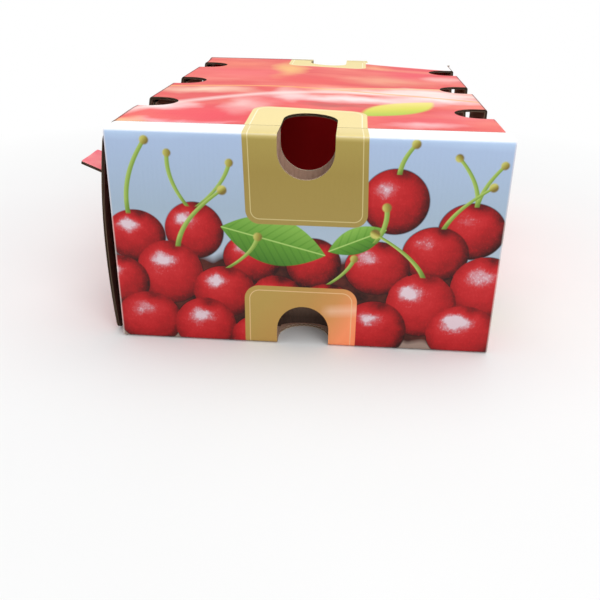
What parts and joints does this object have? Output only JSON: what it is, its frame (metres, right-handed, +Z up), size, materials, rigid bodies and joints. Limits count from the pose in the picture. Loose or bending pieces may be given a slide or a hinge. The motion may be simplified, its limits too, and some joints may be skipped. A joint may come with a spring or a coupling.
{
  "type": "cardboard fruit box",
  "caption": "Small printed cardboard fruit box: tray with hollow rimmed end walls, hand holes, vents and bottom notches, and a hinged lid with a closing flap.",
  "frame": {"origin": "middle of the tray floor, on its underside, where the box rests", "axes": "+Z up, +Y towards the back end, the lid's hinge on the +X side and its closing flap on the -X side"},
  "size_m": [0.217, 0.3, 0.115],
  "materials": {
    "tray_board": "printed, satin",
    "lid_board": "printed, satin"
  },
  "bodies": {
    "tray": {"tray": "tray_board"},
    "lid": {"lid": "lid_board"}
  },
  "joints": [
    {"name": "lid_hinge", "type": "hinge", "parent": "tray", "child": "lid", "pos_m": [0.099, 0, 0.1135], "axis": [0, 1, 0], "range_deg": [0, 110]}
  ]
}
